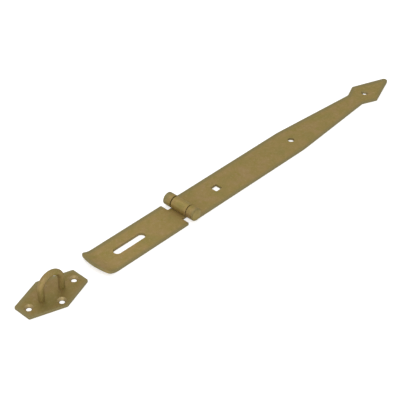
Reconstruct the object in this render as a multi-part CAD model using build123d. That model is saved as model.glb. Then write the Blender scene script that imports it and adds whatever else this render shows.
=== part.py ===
from build123d import *
from math import asin, atan2, degrees, hypot, radians, sqrt, tan
import os

# Driving dimensions in millimetres and degrees

# Sheet, shared by the strap and the hasp leaf
plate_thickness = 3.0
strap_width = 40.0
edge_round = 0.4

# Strap outline, from the pin axis to the spear tip
parallel_length = 173.0
taper_length = 118.0
flare_length = 18.0
head_length = 42.0
neck_width = 21.3
head_width = 36.4
tip_radius = 3.7
taper_blend_radius = 80.0
neck_radius = 6.0
shoulder_radius = 1.2

# Holes in the strap
bolt_square = 9.0
bolt_corner_radius = 0.8
bolt_distance = 51.5
mid_hole_diameter = 7.5
mid_hole_offset = 1.0
tip_hole_diameter = 5.0
tip_sink_diameter = 8.6
tip_hole_setback = 42.0

# Hinge
pin_diameter = 7.8
pin_clearance = 0.1
pin_head_overhang = 3.0
pin_head_height = 2.8
peened_overhang = 2.5
peened_height = 2.8
pin_head_rim = 0.5
tongue_width = 20.0
knuckle_gap = 1.2
seam_gap = 0.4
notch_clearance = 1.0

# Hasp leaf
leaf_reach = 125.0
leaf_shoulder_gap = 3.7
leaf_bow_radius = 48.5
leaf_corner_radius = 4.5
leaf_shoulder_radius = 1.0
slot_side_clearance = 1.2
slot_end_play = 10.0
slot_setback = 29.2
lip_length = 17.0
lip_angle = 22.0
lip_bend_radius = 20.0

# Staple and its plate
staple_gap = 15.0
staple_plate_thickness = 3.0
staple_plate_length = 73.0
staple_plate_width = 45.5
staple_end_width = 21.0
staple_corner_radius = 1.2
screw_diameter = 5.5
screw_sink_diameter = 9.5
screw_end_margin = 8.5
screw_side_margin = 8.25
sink_angle = 90.0
bar_diameter = 6.5
leg_spacing = 25.0
staple_height = 27.2
tenon_diameter = 5.0
tenon_clearance = 0.05
rivet_diameter = 7.0

# Sizes that follow from the driving dimensions
bore_radius = pin_diameter / 2 + pin_clearance
knuckle_radius = bore_radius + plate_thickness
neck_x = parallel_length + taper_length
shoulder_x = neck_x + flare_length
strap_reach = shoulder_x + head_length
slot_width = bar_diameter + 2 * slot_side_clearance
slot_length = leg_spacing + bar_diameter + slot_end_play
staple_x = -(leaf_reach + staple_gap + staple_plate_length / 2)

# The origin lies at the middle of the laid-out set, on the mounting plane
origin_x = (strap_reach + staple_x - staple_plate_length / 2) / 2

# A cutter passes the face it cuts by this much
cut_past = 1.0

# Two places closer together than this count as one
same_place = 0.001


def corners_at(outline, x):
    """The corners of a flat outline that lie at one distance from the pin axis."""
    return [v for v in outline.vertices() if abs(v.X - x) < same_place]


def rolled_eye(side):
    """Section of a knuckle rolled up from its plate, which lies towards +X where side is 1."""
    seam_rise = degrees(asin((knuckle_radius - plate_thickness - seam_gap) / knuckle_radius))
    wrap = -side * (270 + seam_rise)
    with BuildSketch(Plane.XZ) as eye:
        with BuildLine():
            outer = CenterArc((0, knuckle_radius), knuckle_radius, -90, wrap)
            inner = CenterArc((0, knuckle_radius), bore_radius, -90, wrap)
            Line(outer @ 0, inner @ 0)
            Line(outer @ 1, inner @ 1)
        make_face()
    return eye.sketch


def rolled_strip(flat, side):
    """A strip of sheet as wide as the strap, with its end rolled into a full-width eye."""
    return extrude(flat + rolled_eye(side), amount=strap_width / 2, both=True)


def round_rim(plate):
    """Break the sheared rim all round, starting from the long straight edges."""
    edges = plate.edges().filter_by(Axis.X)
    rim = [e for e in edges if abs(abs(e.center().Y) - strap_width / 2) < same_place]
    return fillet(rim, edge_round)


def screw_hole(diameter, sink_diameter, thickness):
    """Cutter for a hole that is countersunk from the top of a plate of this thickness."""
    slope = tan(radians(sink_angle / 2))
    sink_depth = (sink_diameter - diameter) / 2 / slope
    mouth = sink_diameter / 2 + cut_past * slope
    section = Polyline(
        (0, -cut_past),
        (diameter / 2, -cut_past),
        (diameter / 2, thickness - sink_depth),
        (mouth, thickness + cut_past),
        (0, thickness + cut_past),
        close=True,
    )
    return revolve(Plane.XZ * make_face(section), Axis.Z)


def strap_outline():
    """Plan of the strap: parallel part, taper, neck, flared shoulders and a round-nosed point."""
    tip_centre = strap_reach - tip_radius
    to_tip = hypot(tip_centre - shoulder_x, head_width / 2)
    point_angle = atan2(head_width / 2, tip_centre - shoulder_x) - asin(tip_radius / to_tip)
    apex_x = shoulder_x + head_width / 2 / tan(point_angle)
    side = [
        (-knuckle_radius - cut_past, strap_width / 2),
        (parallel_length, strap_width / 2),
        (neck_x, neck_width / 2),
        (shoulder_x, head_width / 2),
    ]
    other_side = [(x, -y) for x, y in reversed(side)]
    outline = make_face(Polyline(*side, (apex_x, 0), *other_side, close=True))
    outline = fillet(corners_at(outline, apex_x), tip_radius)
    outline = fillet(corners_at(outline, shoulder_x), shoulder_radius)
    outline = fillet(corners_at(outline, neck_x), neck_radius)
    return fillet(corners_at(outline, parallel_length), taper_blend_radius)


def make_strap():
    """The strap with its two outer knuckles, bolt hole and screw holes."""
    flat = Plane.XZ * Rectangle(strap_reach, plate_thickness, align=(Align.MIN, Align.MIN))
    trim = extrude(strap_outline(), amount=2 * knuckle_radius + cut_past)
    strap = round_rim(rolled_strip(flat, 1) & trim)

    notch_depth = knuckle_radius + notch_clearance
    notch_width = tongue_width + 2 * knuckle_gap
    notch = Rectangle(notch_depth + knuckle_radius + cut_past, notch_width, align=(Align.MAX, Align.CENTER))
    strap -= extrude(Pos(notch_depth, 0, -cut_past) * notch, amount=2 * (knuckle_radius + cut_past))

    through = plate_thickness + 2 * cut_past
    bolt_hole = RectangleRounded(bolt_square, bolt_square, bolt_corner_radius)
    strap -= extrude(Pos(bolt_distance, 0, -cut_past) * bolt_hole, amount=through)
    mid_hole = Circle(mid_hole_diameter / 2)
    strap -= extrude(Pos(parallel_length + mid_hole_offset, 0, -cut_past) * mid_hole, amount=through)
    tip_hole = screw_hole(tip_hole_diameter, tip_sink_diameter, plate_thickness)
    return strap - Pos(strap_reach - tip_hole_setback, 0, 0) * tip_hole


def leaf_strip():
    """Section of the leaf's sheet: flat from the hinge, then turned up a little as a finger lip."""
    bend_centre = (lip_length - leaf_reach, plate_thickness + lip_bend_radius)
    with BuildSketch(Plane.XZ) as strip:
        with BuildLine():
            upper = CenterArc(bend_centre, lip_bend_radius, -90, -lip_angle)
            lower = CenterArc(bend_centre, lip_bend_radius + plate_thickness, -90, -lip_angle)
            upper_lip = PolarLine(upper @ 1, lip_length, 180 - lip_angle)
            lower_lip = PolarLine(lower @ 1, lip_length, 180 - lip_angle)
            Line(upper_lip @ 1, lower_lip @ 1)
            Polyline(upper @ 0, (0, plate_thickness), (0, 0), lower @ 0)
        make_face()
    return strip.sketch


def leaf_outline():
    """Plan of the leaf: tongue at the hinge, square shoulders and a bowed free end."""
    half_width = strap_width / 2
    shoulder = -(knuckle_radius + leaf_shoulder_gap)
    bow_start = leaf_bow_radius - leaf_reach - sqrt(leaf_bow_radius**2 - half_width**2)
    side = [
        (knuckle_radius + cut_past, tongue_width / 2),
        (shoulder, tongue_width / 2),
        (shoulder, half_width),
        (bow_start, half_width),
    ]
    other_side = [(x, -y) for x, y in reversed(side)]
    with BuildSketch() as plan:
        with BuildLine():
            Polyline(*side)
            ThreePointArc(side[-1], (-leaf_reach, 0), other_side[0])
            Polyline(*other_side, side[0])
        make_face()
    outline = fillet(corners_at(plan.sketch, bow_start), leaf_corner_radius)
    return fillet(corners_at(outline, shoulder), leaf_shoulder_radius)


def make_hasp_leaf():
    """The slotted leaf with its middle knuckle and finger lip."""
    trim = extrude(leaf_outline(), amount=2 * knuckle_radius + cut_past)
    leaf = round_rim(rolled_strip(leaf_strip(), -1) & trim)
    slot_x = slot_setback + slot_length / 2 - leaf_reach
    slot = Pos(slot_x, 0, -cut_past) * SlotOverall(slot_length, slot_width)
    return leaf - extrude(slot, amount=plate_thickness + 2 * cut_past)


def domed_shank(overhang, height):
    """Half of the pin: its shank from the middle out, and a low dome against the outer knuckle's face."""
    shank = pin_diameter / 2
    seat = strap_width / 2
    head = shank + overhang
    rim = seat + pin_head_rim
    crown = seat + height
    dome_radius = (head**2 + (crown - rim) ** 2) / (2 * (crown - rim))
    with BuildSketch() as half_section:
        with BuildLine():
            Polyline((0, 0), (shank, 0), (shank, seat), (head, seat), (head, rim))
            RadiusArc((head, rim), (0, crown), -dome_radius)
            Line((0, crown), (0, 0))
        make_face()
    return revolve(half_section.sketch, Axis.Y)


def make_hinge_pin():
    """The pin, with a formed head at one end and its other end peened over."""
    headed = domed_shank(pin_head_overhang, pin_head_height)
    peened = domed_shank(peened_overhang, peened_height)
    return Pos(0, 0, knuckle_radius) * (headed + mirror(peened, Plane.XZ))


def leg_places():
    """The two staple legs, on the plate's long axis."""
    return [Pos(x, 0, 0) for x in (-leg_spacing / 2, leg_spacing / 2)]


def rivet_profile(gap):
    """Half section of a riveted tenon that fills a countersink at the plate's back."""
    tenon = tenon_diameter / 2 + gap
    rivet = rivet_diameter / 2 + gap
    return [
        (0, 0),
        (rivet, 0),
        (tenon, rivet - tenon),
        (tenon, staple_plate_thickness),
        (0, staple_plate_thickness),
    ]


def make_staple_plate():
    """Hexagonal plate, widest in the middle, with countersunk screw holes and the legs' rivet holes."""
    half_length = staple_plate_length / 2
    side = [
        (-half_length, staple_end_width / 2),
        (0, staple_plate_width / 2),
        (half_length, staple_end_width / 2),
    ]
    other_side = [(x, -y) for x, y in reversed(side)]
    outline = make_face(Polyline(*side, *other_side, close=True))
    outline = fillet(outline.vertices(), staple_corner_radius)
    plate = extrude(outline, amount=staple_plate_thickness)
    levels = plate.edges().group_by(Axis.Z)
    plate = fillet(levels[0] + levels[-1], edge_round)

    end_screw = half_length - screw_end_margin
    side_screw = staple_plate_width / 2 - screw_side_margin
    screw = screw_hole(screw_diameter, screw_sink_diameter, staple_plate_thickness)
    for place in (Pos(end_screw, 0), Pos(-end_screw, 0), Pos(0, side_screw), Pos(0, -side_screw)):
        plate -= place * screw
    section = make_face(Polyline(*rivet_profile(tenon_clearance), close=True))
    rivet_hole = revolve(Plane.XZ * section, Axis.Z)
    for leg in leg_places():
        plate -= leg * rivet_hole
    return plate


def make_staple():
    """Round bar bent to a loop, its legs shouldered on the plate and riveted flush at the back."""
    bend_radius = leg_spacing / 2
    bend_height = staple_plate_thickness + staple_height - bar_diameter / 2 - bend_radius
    bar = Circle(bar_diameter / 2)
    start = Pos(bend_radius, 0, bend_height) * bar
    loop_axis = Axis((0, 0, bend_height), (0, -1, 0))
    staple = revolve(start, loop_axis, 180)
    leg = extrude(Pos(0, 0, staple_plate_thickness) * bar, amount=bend_height - staple_plate_thickness)
    tenon = revolve(Plane.XZ * make_face(Polyline(*rivet_profile(0), close=True)), Axis.Z)
    for place in leg_places():
        staple += place * (leg + tenon)
    return staple


staple_place = Pos(staple_x, 0, 0)
pieces = {
    "strap": make_strap(),
    "hasp_leaf": make_hasp_leaf(),
    "hinge_pin": make_hinge_pin(),
    "staple_plate": staple_place * make_staple_plate(),
    "staple": staple_place * make_staple(),
}

os.makedirs("parts", exist_ok=True)
for name, piece in pieces.items():
    export_step(Pos(-origin_x, 0, 0) * piece, f"parts/{name}.step")
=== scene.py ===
from math import radians, sin

import bpy
from mathutils import Matrix, Vector


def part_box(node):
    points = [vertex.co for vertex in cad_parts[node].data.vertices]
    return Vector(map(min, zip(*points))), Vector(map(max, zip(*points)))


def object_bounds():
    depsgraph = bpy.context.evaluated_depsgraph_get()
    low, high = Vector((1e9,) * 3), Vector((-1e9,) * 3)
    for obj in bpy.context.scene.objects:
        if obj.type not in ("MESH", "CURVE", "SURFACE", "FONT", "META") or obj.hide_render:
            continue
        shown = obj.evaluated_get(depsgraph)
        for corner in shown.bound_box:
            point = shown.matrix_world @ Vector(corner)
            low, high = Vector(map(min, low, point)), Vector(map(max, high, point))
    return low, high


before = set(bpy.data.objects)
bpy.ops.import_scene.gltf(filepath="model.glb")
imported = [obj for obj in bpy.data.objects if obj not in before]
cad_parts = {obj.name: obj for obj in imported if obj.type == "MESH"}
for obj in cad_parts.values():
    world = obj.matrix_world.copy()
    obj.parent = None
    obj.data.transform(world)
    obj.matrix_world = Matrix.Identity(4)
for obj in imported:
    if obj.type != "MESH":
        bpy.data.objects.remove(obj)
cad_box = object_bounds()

# Camera, with its place in metres, its angles in degrees and its sensor in millimetres
picture_size = 400
sensor_width = 36.0
focal_length_px = 1199.6
camera_place = Vector((-0.7677, -0.6624, 0.7617))
camera_heading = 42.398
camera_dip = 37.775
camera_roll = 1.180

# Linear colours of the plating
olive = (0.312, 0.242, 0.078, 1.0)
gold_brown = (0.348, 0.250, 0.086, 1.0)
pink_brown = (0.371, 0.257, 0.108, 1.0)
green_bloom = (0.290, 0.242, 0.059, 1.0)
# Pale flecks of the film; on the staple plate's countersinks the same colour is a painted highlight
pale_fleck_and_painted_highlight = (0.470, 0.365, 0.190, 1.0)
edge_film = (0.275, 0.226, 0.098, 1.0)
# Dull sheared faces, whose darker colour on upright sides is partly painted shade
cut_face_and_painted_shade = (0.262, 0.218, 0.110, 1.0)

# Each piece's tint of the plating, and the roughness of sheet, pin and bar. The staple plate's darker
# tint is painted shade, and the pin's tint is partly painted shade, partly a greener colour
strap_tint = (1.0, 1.0, 1.0)
leaf_tint = (1.05, 1.05, 1.05)
plate_painted_shade = (0.82, 0.82, 0.82)
pin_colour_and_shade = (0.89, 0.98, 0.94)
bar_tint = (0.97, 0.99, 1.04)
sheet_roughness = 0.46
pin_roughness = 0.44
bar_roughness = 0.54

# Noise layers of the film, each with its ripples a metre, its detail and its roughness
patch_noise = (62.0, 4.0, 0.55)
bloom_noise = (190.0, 3.0, 0.5)
fleck_noise = (330.0, 2.0, 0.5)
dimple_noise = (700.0, 2.0, 0.5)
grain_noise = (2600.0, 2.0, 0.5)

# Noise values between which each layer sets in, and what it brings at them
patch_colours = ((0.34, olive), (0.50, gold_brown), (0.66, pink_brown))
bloom_onset = (0.50, 0.72)
bloom_shares = (0.0, 0.50)
fleck_onset = (0.50, 0.75)
fleck_shares = (0.0, 0.30)
grain_onset = (0.30, 0.70)
grain_shades = (0.88, 1.08)
dulling_onset = (0.35, 0.70)
dulling = (-0.05, 0.08)

# Gloss and relief
metal_share = 0.60
specular_level = 0.25
specular_tint = (0.6, 0.55, 0.45, 1.0)
bump_strength = 0.25
bump_distance = 0.00012
grain_height = 0.6

# Sheared sheet: the film along its edges, its cut faces, darkened partly as painted shade, and its
# countersinks, which carry a painted highlight on the staple plate and the dull cut colour elsewhere
edge_film_depths = (0.0005, 0.0053)
edge_film_shares = (1.0, 0.0)
edge_film_lean = 0.0012
sheet_margin = 0.00015
cut_onset = (0.25, 0.70)
cut_and_shade_share = 0.55
cut_dulling = 0.12
countersink_angle = 90.0
cone_slope = sin(radians(countersink_angle / 2))
cone_tolerance = 0.05
cone_share = 0.6

# Sheared outlines, as places along X with the half width there; the hinge ends run on past the barrel
barrel_run_on = 0.02
taper_length = 0.118
flare_length = 0.018
head_length = 0.042
neck_half_width = 0.0107
head_half_width = 0.0182
plate_end_half_width = 0.0105
strap_low, strap_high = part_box("strap")
leaf_low, leaf_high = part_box("hasp_leaf")
plate_low, plate_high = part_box("staple_plate")
plate_middle = (plate_low.x + plate_high.x) / 2
head_place = strap_high.x - head_length
neck_place = head_place - flare_length
taper_place = neck_place - taper_length
strap_outline = (
    (strap_low.x - barrel_run_on, strap_high.y),
    (taper_place, strap_high.y),
    (neck_place, neck_half_width),
    (head_place, head_half_width),
    (strap_high.x, 0.0),
)
leaf_outline = (
    (leaf_low.x, leaf_high.y),
    (leaf_high.x + barrel_run_on, leaf_high.y),
)
plate_outline = (
    (plate_low.x, plate_end_half_width),
    (plate_middle, plate_high.y),
    (plate_high.x, plate_end_half_width),
)

# Floor and light, in metres and watts
floor_size = 6.0
floor_colour = (0.86, 0.86, 0.86, 1.0)
floor_lift = 0.50
mirrored_lift = 0.25
world_colour = (0.8, 0.8, 0.8, 1.0)
seen_strength = 1.0
world_strength = 0.92
key_place = Vector((-1.9, -1.4, 1.1))
key_size = 2.0
key_power = 20.0
back_place = Vector((-0.1, 1.1, 1.8))
back_size = 1.4
back_power = 3.0


def empty_tree(owner):
    """The node tree of a material or world, with no nodes in it."""
    owner.use_nodes = True
    owner.node_tree.nodes.clear()
    return owner.node_tree


def node(tree, kind, inputs, **settings):
    """A new shader node with these settings, and a value or a link for each input by name or number."""
    made = tree.nodes.new(kind)
    for name, value in settings.items():
        setattr(made, name, value)
    for name, value in inputs.items():
        if isinstance(value, bpy.types.NodeSocket):
            tree.links.new(value, made.inputs[name])
        else:
            made.inputs[name].default_value = value
    return made


def compute(tree, operation, *values):
    """The result of a math node."""
    made = node(tree, "ShaderNodeMath", dict(enumerate(values)), operation=operation)
    return made.outputs["Value"]


def spread(tree, value, span, ends=(0.0, 1.0)):
    """A value carried smoothly from one range to another."""
    inputs = {
        "Value": value,
        "From Min": span[0],
        "From Max": span[1],
        "To Min": ends[0],
        "To Max": ends[1],
    }
    made = node(tree, "ShaderNodeMapRange", inputs, interpolation_type="SMOOTHSTEP")
    return made.outputs["Result"]


def noise(tree, at, scale, detail, roughness):
    """The value of a noise texture."""
    inputs = {"Vector": at, "Scale": scale, "Detail": detail, "Roughness": roughness}
    return node(tree, "ShaderNodeTexNoise", inputs).outputs["Fac"]


def mix(tree, share, first, second, blend="MIX"):
    """The colour that a share of the second colour makes of the first."""
    inputs = {"Factor": share, "A": first, "B": second}
    made = node(tree, "ShaderNodeMix", inputs, data_type="RGBA", blend_type=blend)
    return made.outputs["Result"]


def ramp(tree, value, stops):
    """The colour at a value, on a ramp through stops of a position and a colour."""
    made = node(tree, "ShaderNodeValToRGB", {"Fac": value})
    elements = made.color_ramp.elements
    elements.remove(elements[-1])
    elements[0].position, elements[0].color = stops[0]
    for position, colour in stops[1:]:
        elements.new(position).color = colour
    return made.outputs["Color"]


def edge_depth(tree, spot, outline):
    """How far a spot lies inside a sheet's outline, as its film counts it: less along the +Y side."""
    first = outline[0][0]
    last = outline[-1][0]
    from_first = compute(tree, "SUBTRACT", spot.outputs["X"], first)
    from_last = compute(tree, "SUBTRACT", last, spot.outputs["X"])
    along = compute(tree, "DIVIDE", from_first, last - first)
    stops = [((place - first) / (last - first), (half, half, half, 1.0)) for place, half in outline]
    half_width = ramp(tree, along, stops)
    leaned = compute(tree, "ADD", spot.outputs["Y"], edge_film_lean)
    from_side = compute(tree, "SUBTRACT", half_width, compute(tree, "ABSOLUTE", leaned))
    from_end = compute(tree, "MINIMUM", from_first, from_last)
    return compute(tree, "MINIMUM", from_side, from_end)


def mottled_film(tree, at, bloom, grain, tint_and_shade):
    """The film's colour: broad patches, green blooms, pale flecks and fine grain, in a piece's tint,
    which on the staple plate and pin is partly painted shade.
    """
    colour = ramp(tree, noise(tree, at, *patch_noise), patch_colours)
    colour = mix(tree, spread(tree, bloom, bloom_onset, bloom_shares), colour, green_bloom)
    flecks = noise(tree, at, *fleck_noise)
    colour = mix(tree, spread(tree, flecks, fleck_onset, fleck_shares), colour, pale_fleck_and_painted_highlight)
    shade = spread(tree, grain, grain_onset, grain_shades)
    channels = [compute(tree, "MULTIPLY", shade, strength) for strength in tint_and_shade]
    tone = node(tree, "ShaderNodeCombineColor", dict(enumerate(channels)))
    return mix(tree, 1.0, colour, tone.outputs["Color"], "MULTIPLY")


def sheared(tree, place, colour, roughness, outline, cone_light_and_shade):
    """A sheet's colour and roughness, with its film along the edges, dull cut faces partly darkened as
    painted shade, and countersinks in a colour of their own, a painted highlight on the staple plate.
    """
    face = node(tree, "ShaderNodeSeparateXYZ", {"Vector": place.outputs["Normal"]})
    spot = node(tree, "ShaderNodeSeparateXYZ", {"Vector": place.outputs["Object"]})
    edge = spread(tree, edge_depth(tree, spot, outline), edge_film_depths, edge_film_shares)
    colour = mix(tree, edge, colour, edge_film)
    in_sheet = compute(tree, "LESS_THAN", spot.outputs["Z"], plate_high.z + sheet_margin)
    # Upright faces within the sheet's thickness take the dull cut colour, which is partly painted shade
    # on the sides
    upright = compute(tree, "SUBTRACT", 1.0, compute(tree, "ABSOLUTE", face.outputs["Z"]))
    cut_and_shaded_side = compute(tree, "MULTIPLY", spread(tree, upright, cut_onset), in_sheet)
    colour = mix(tree, compute(tree, "MULTIPLY", cut_and_shaded_side, cut_and_shade_share), colour, cut_face_and_painted_shade)
    # Countersink walls take their own colour: a painted highlight on the staple plate, the dull cut
    # colour with its painted shade on strap and leaf
    sloped = compute(tree, "COMPARE", face.outputs["Z"], cone_slope, cone_tolerance)
    cone = compute(tree, "MULTIPLY", sloped, in_sheet)
    colour = mix(tree, compute(tree, "MULTIPLY", cone, cone_share), colour, cone_light_and_shade)
    roughness = compute(tree, "MULTIPLY_ADD", cut_and_shaded_side, cut_dulling, roughness)
    return colour, roughness


def plated_steel(name, base_roughness, tint_and_shade, outline=None, cone_light_and_shade=cut_face_and_painted_shade):
    """Yellow-passivated zinc on steel, with an outline where the piece is sheared from sheet."""
    material = bpy.data.materials.new(name)
    tree = empty_tree(material)
    place = tree.nodes.new("ShaderNodeTexCoord")
    at = place.outputs["Object"]
    bloom = noise(tree, at, *bloom_noise)
    grain = noise(tree, at, *grain_noise)
    colour = mottled_film(tree, at, bloom, grain, tint_and_shade)
    roughness = spread(tree, bloom, dulling_onset, [base_roughness + change for change in dulling])
    if outline:
        colour, roughness = sheared(tree, place, colour, roughness, outline, cone_light_and_shade)
    height = compute(tree, "MULTIPLY_ADD", grain, grain_height, noise(tree, at, *dimple_noise))
    relief = {"Strength": bump_strength, "Distance": bump_distance, "Height": height}
    finish = {
        "Base Color": colour,
        "Roughness": roughness,
        "Metallic": metal_share,
        "Specular IOR Level": specular_level,
        "Specular Tint": specular_tint,
        "Normal": node(tree, "ShaderNodeBump", relief).outputs["Normal"],
    }
    surface = node(tree, "ShaderNodeBsdfPrincipled", finish)
    node(tree, "ShaderNodeOutputMaterial", {"Surface": surface.outputs["BSDF"]})
    return material


def paint_pieces():
    """Plating for each piece, with its own tint and roughness; the staple plate's and pin's darker tints
    are painted shade.
    """
    strap_finish = plated_steel("plated_strap", sheet_roughness, strap_tint, strap_outline)
    leaf_finish = plated_steel("plated_leaf", sheet_roughness, leaf_tint, leaf_outline)
    # The staple plate's countersinks are painted pale, a painted highlight
    plate_finish = plated_steel(
        "plated_staple_plate", sheet_roughness, plate_painted_shade, plate_outline, pale_fleck_and_painted_highlight
    )
    pin_finish = plated_steel("plated_pin", pin_roughness, pin_colour_and_shade)
    bar_finish = plated_steel("plated_bar", bar_roughness, bar_tint)
    finishes = {
        "strap": strap_finish,
        "hasp_leaf": leaf_finish,
        "staple_plate": plate_finish,
        "hinge_pin": pin_finish,
        "staple": bar_finish,
    }
    for name, finish in finishes.items():
        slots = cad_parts[name].data.materials
        slots.clear()
        slots.append(finish)


def by_ray(tree, to_camera, to_mirror, to_light):
    """A strength for camera rays, one for glossy and transmission rays, and one for the rest."""
    path = tree.nodes.new("ShaderNodeLightPath")
    glossy = path.outputs["Is Glossy Ray"]
    transmission = path.outputs["Is Transmission Ray"]
    mirror = compute(tree, "MAXIMUM", glossy, transmission)
    unseen = spread(tree, mirror, (0.0, 1.0), (to_light, to_mirror))
    inputs = {"Factor": path.outputs["Is Camera Ray"], "A": unseen, "B": to_camera}
    return node(tree, "ShaderNodeMix", inputs).outputs["Result"]


def make_floor():
    """A pale floor under the part, which keeps its shadow."""
    bpy.ops.mesh.primitive_plane_add(size=floor_size, location=(0, 0, cad_box[0].z))
    floor = bpy.context.object
    floor.name = "floor"
    material = bpy.data.materials.new("floor")
    tree = empty_tree(material)
    diffuse = node(tree, "ShaderNodeBsdfDiffuse", {"Color": floor_colour})
    strength = by_ray(tree, floor_lift, mirrored_lift, 0.0)
    lift = node(tree, "ShaderNodeEmission", {"Strength": strength})
    shaders = {0: diffuse.outputs["BSDF"], 1: lift.outputs["Emission"]}
    both = node(tree, "ShaderNodeAddShader", shaders)
    node(tree, "ShaderNodeOutputMaterial", {"Surface": both.outputs["Shader"]})
    floor.data.materials.append(material)


def make_world():
    """Even pale surroundings, a little weaker as a light than where they are seen."""
    world = bpy.data.worlds.new("studio")
    bpy.context.scene.world = world
    tree = empty_tree(world)
    strength = by_ray(tree, seen_strength, seen_strength, world_strength)
    light = node(tree, "ShaderNodeBackground", {"Color": world_colour, "Strength": strength})
    node(tree, "ShaderNodeOutputWorld", {"Surface": light.outputs["Background"]})


def make_lamp(name, place, size, power):
    """A square soft box that points at the middle of the part."""
    lamp = bpy.data.lights.new(name, "AREA")
    lamp.size = size
    lamp.energy = power
    box = bpy.data.objects.new(name, lamp)
    box.location = place
    box.rotation_euler = (-place).to_track_quat("-Z", "Y").to_euler()
    bpy.context.scene.collection.objects.link(box)


def make_camera():
    """The photograph's viewpoint."""
    lens = bpy.data.cameras.new("camera")
    lens.sensor_width = sensor_width
    lens.lens = focal_length_px / picture_size * sensor_width
    camera = bpy.data.objects.new("camera", lens)
    turn = Matrix.Rotation(radians(camera_heading - 90), 4, "Z")
    tilt = Matrix.Rotation(radians(90 - camera_dip), 4, "X")
    roll = Matrix.Rotation(radians(camera_roll), 4, "Z")
    camera.matrix_world = Matrix.Translation(camera_place) @ turn @ tilt @ roll
    bpy.context.scene.collection.objects.link(camera)
    bpy.context.scene.camera = camera


paint_pieces()
make_floor()
make_world()
make_lamp("key_lamp", key_place, key_size, key_power)
make_lamp("back_lamp", back_place, back_size, back_power)
make_camera()
bpy.context.scene.view_settings.view_transform = "Standard"
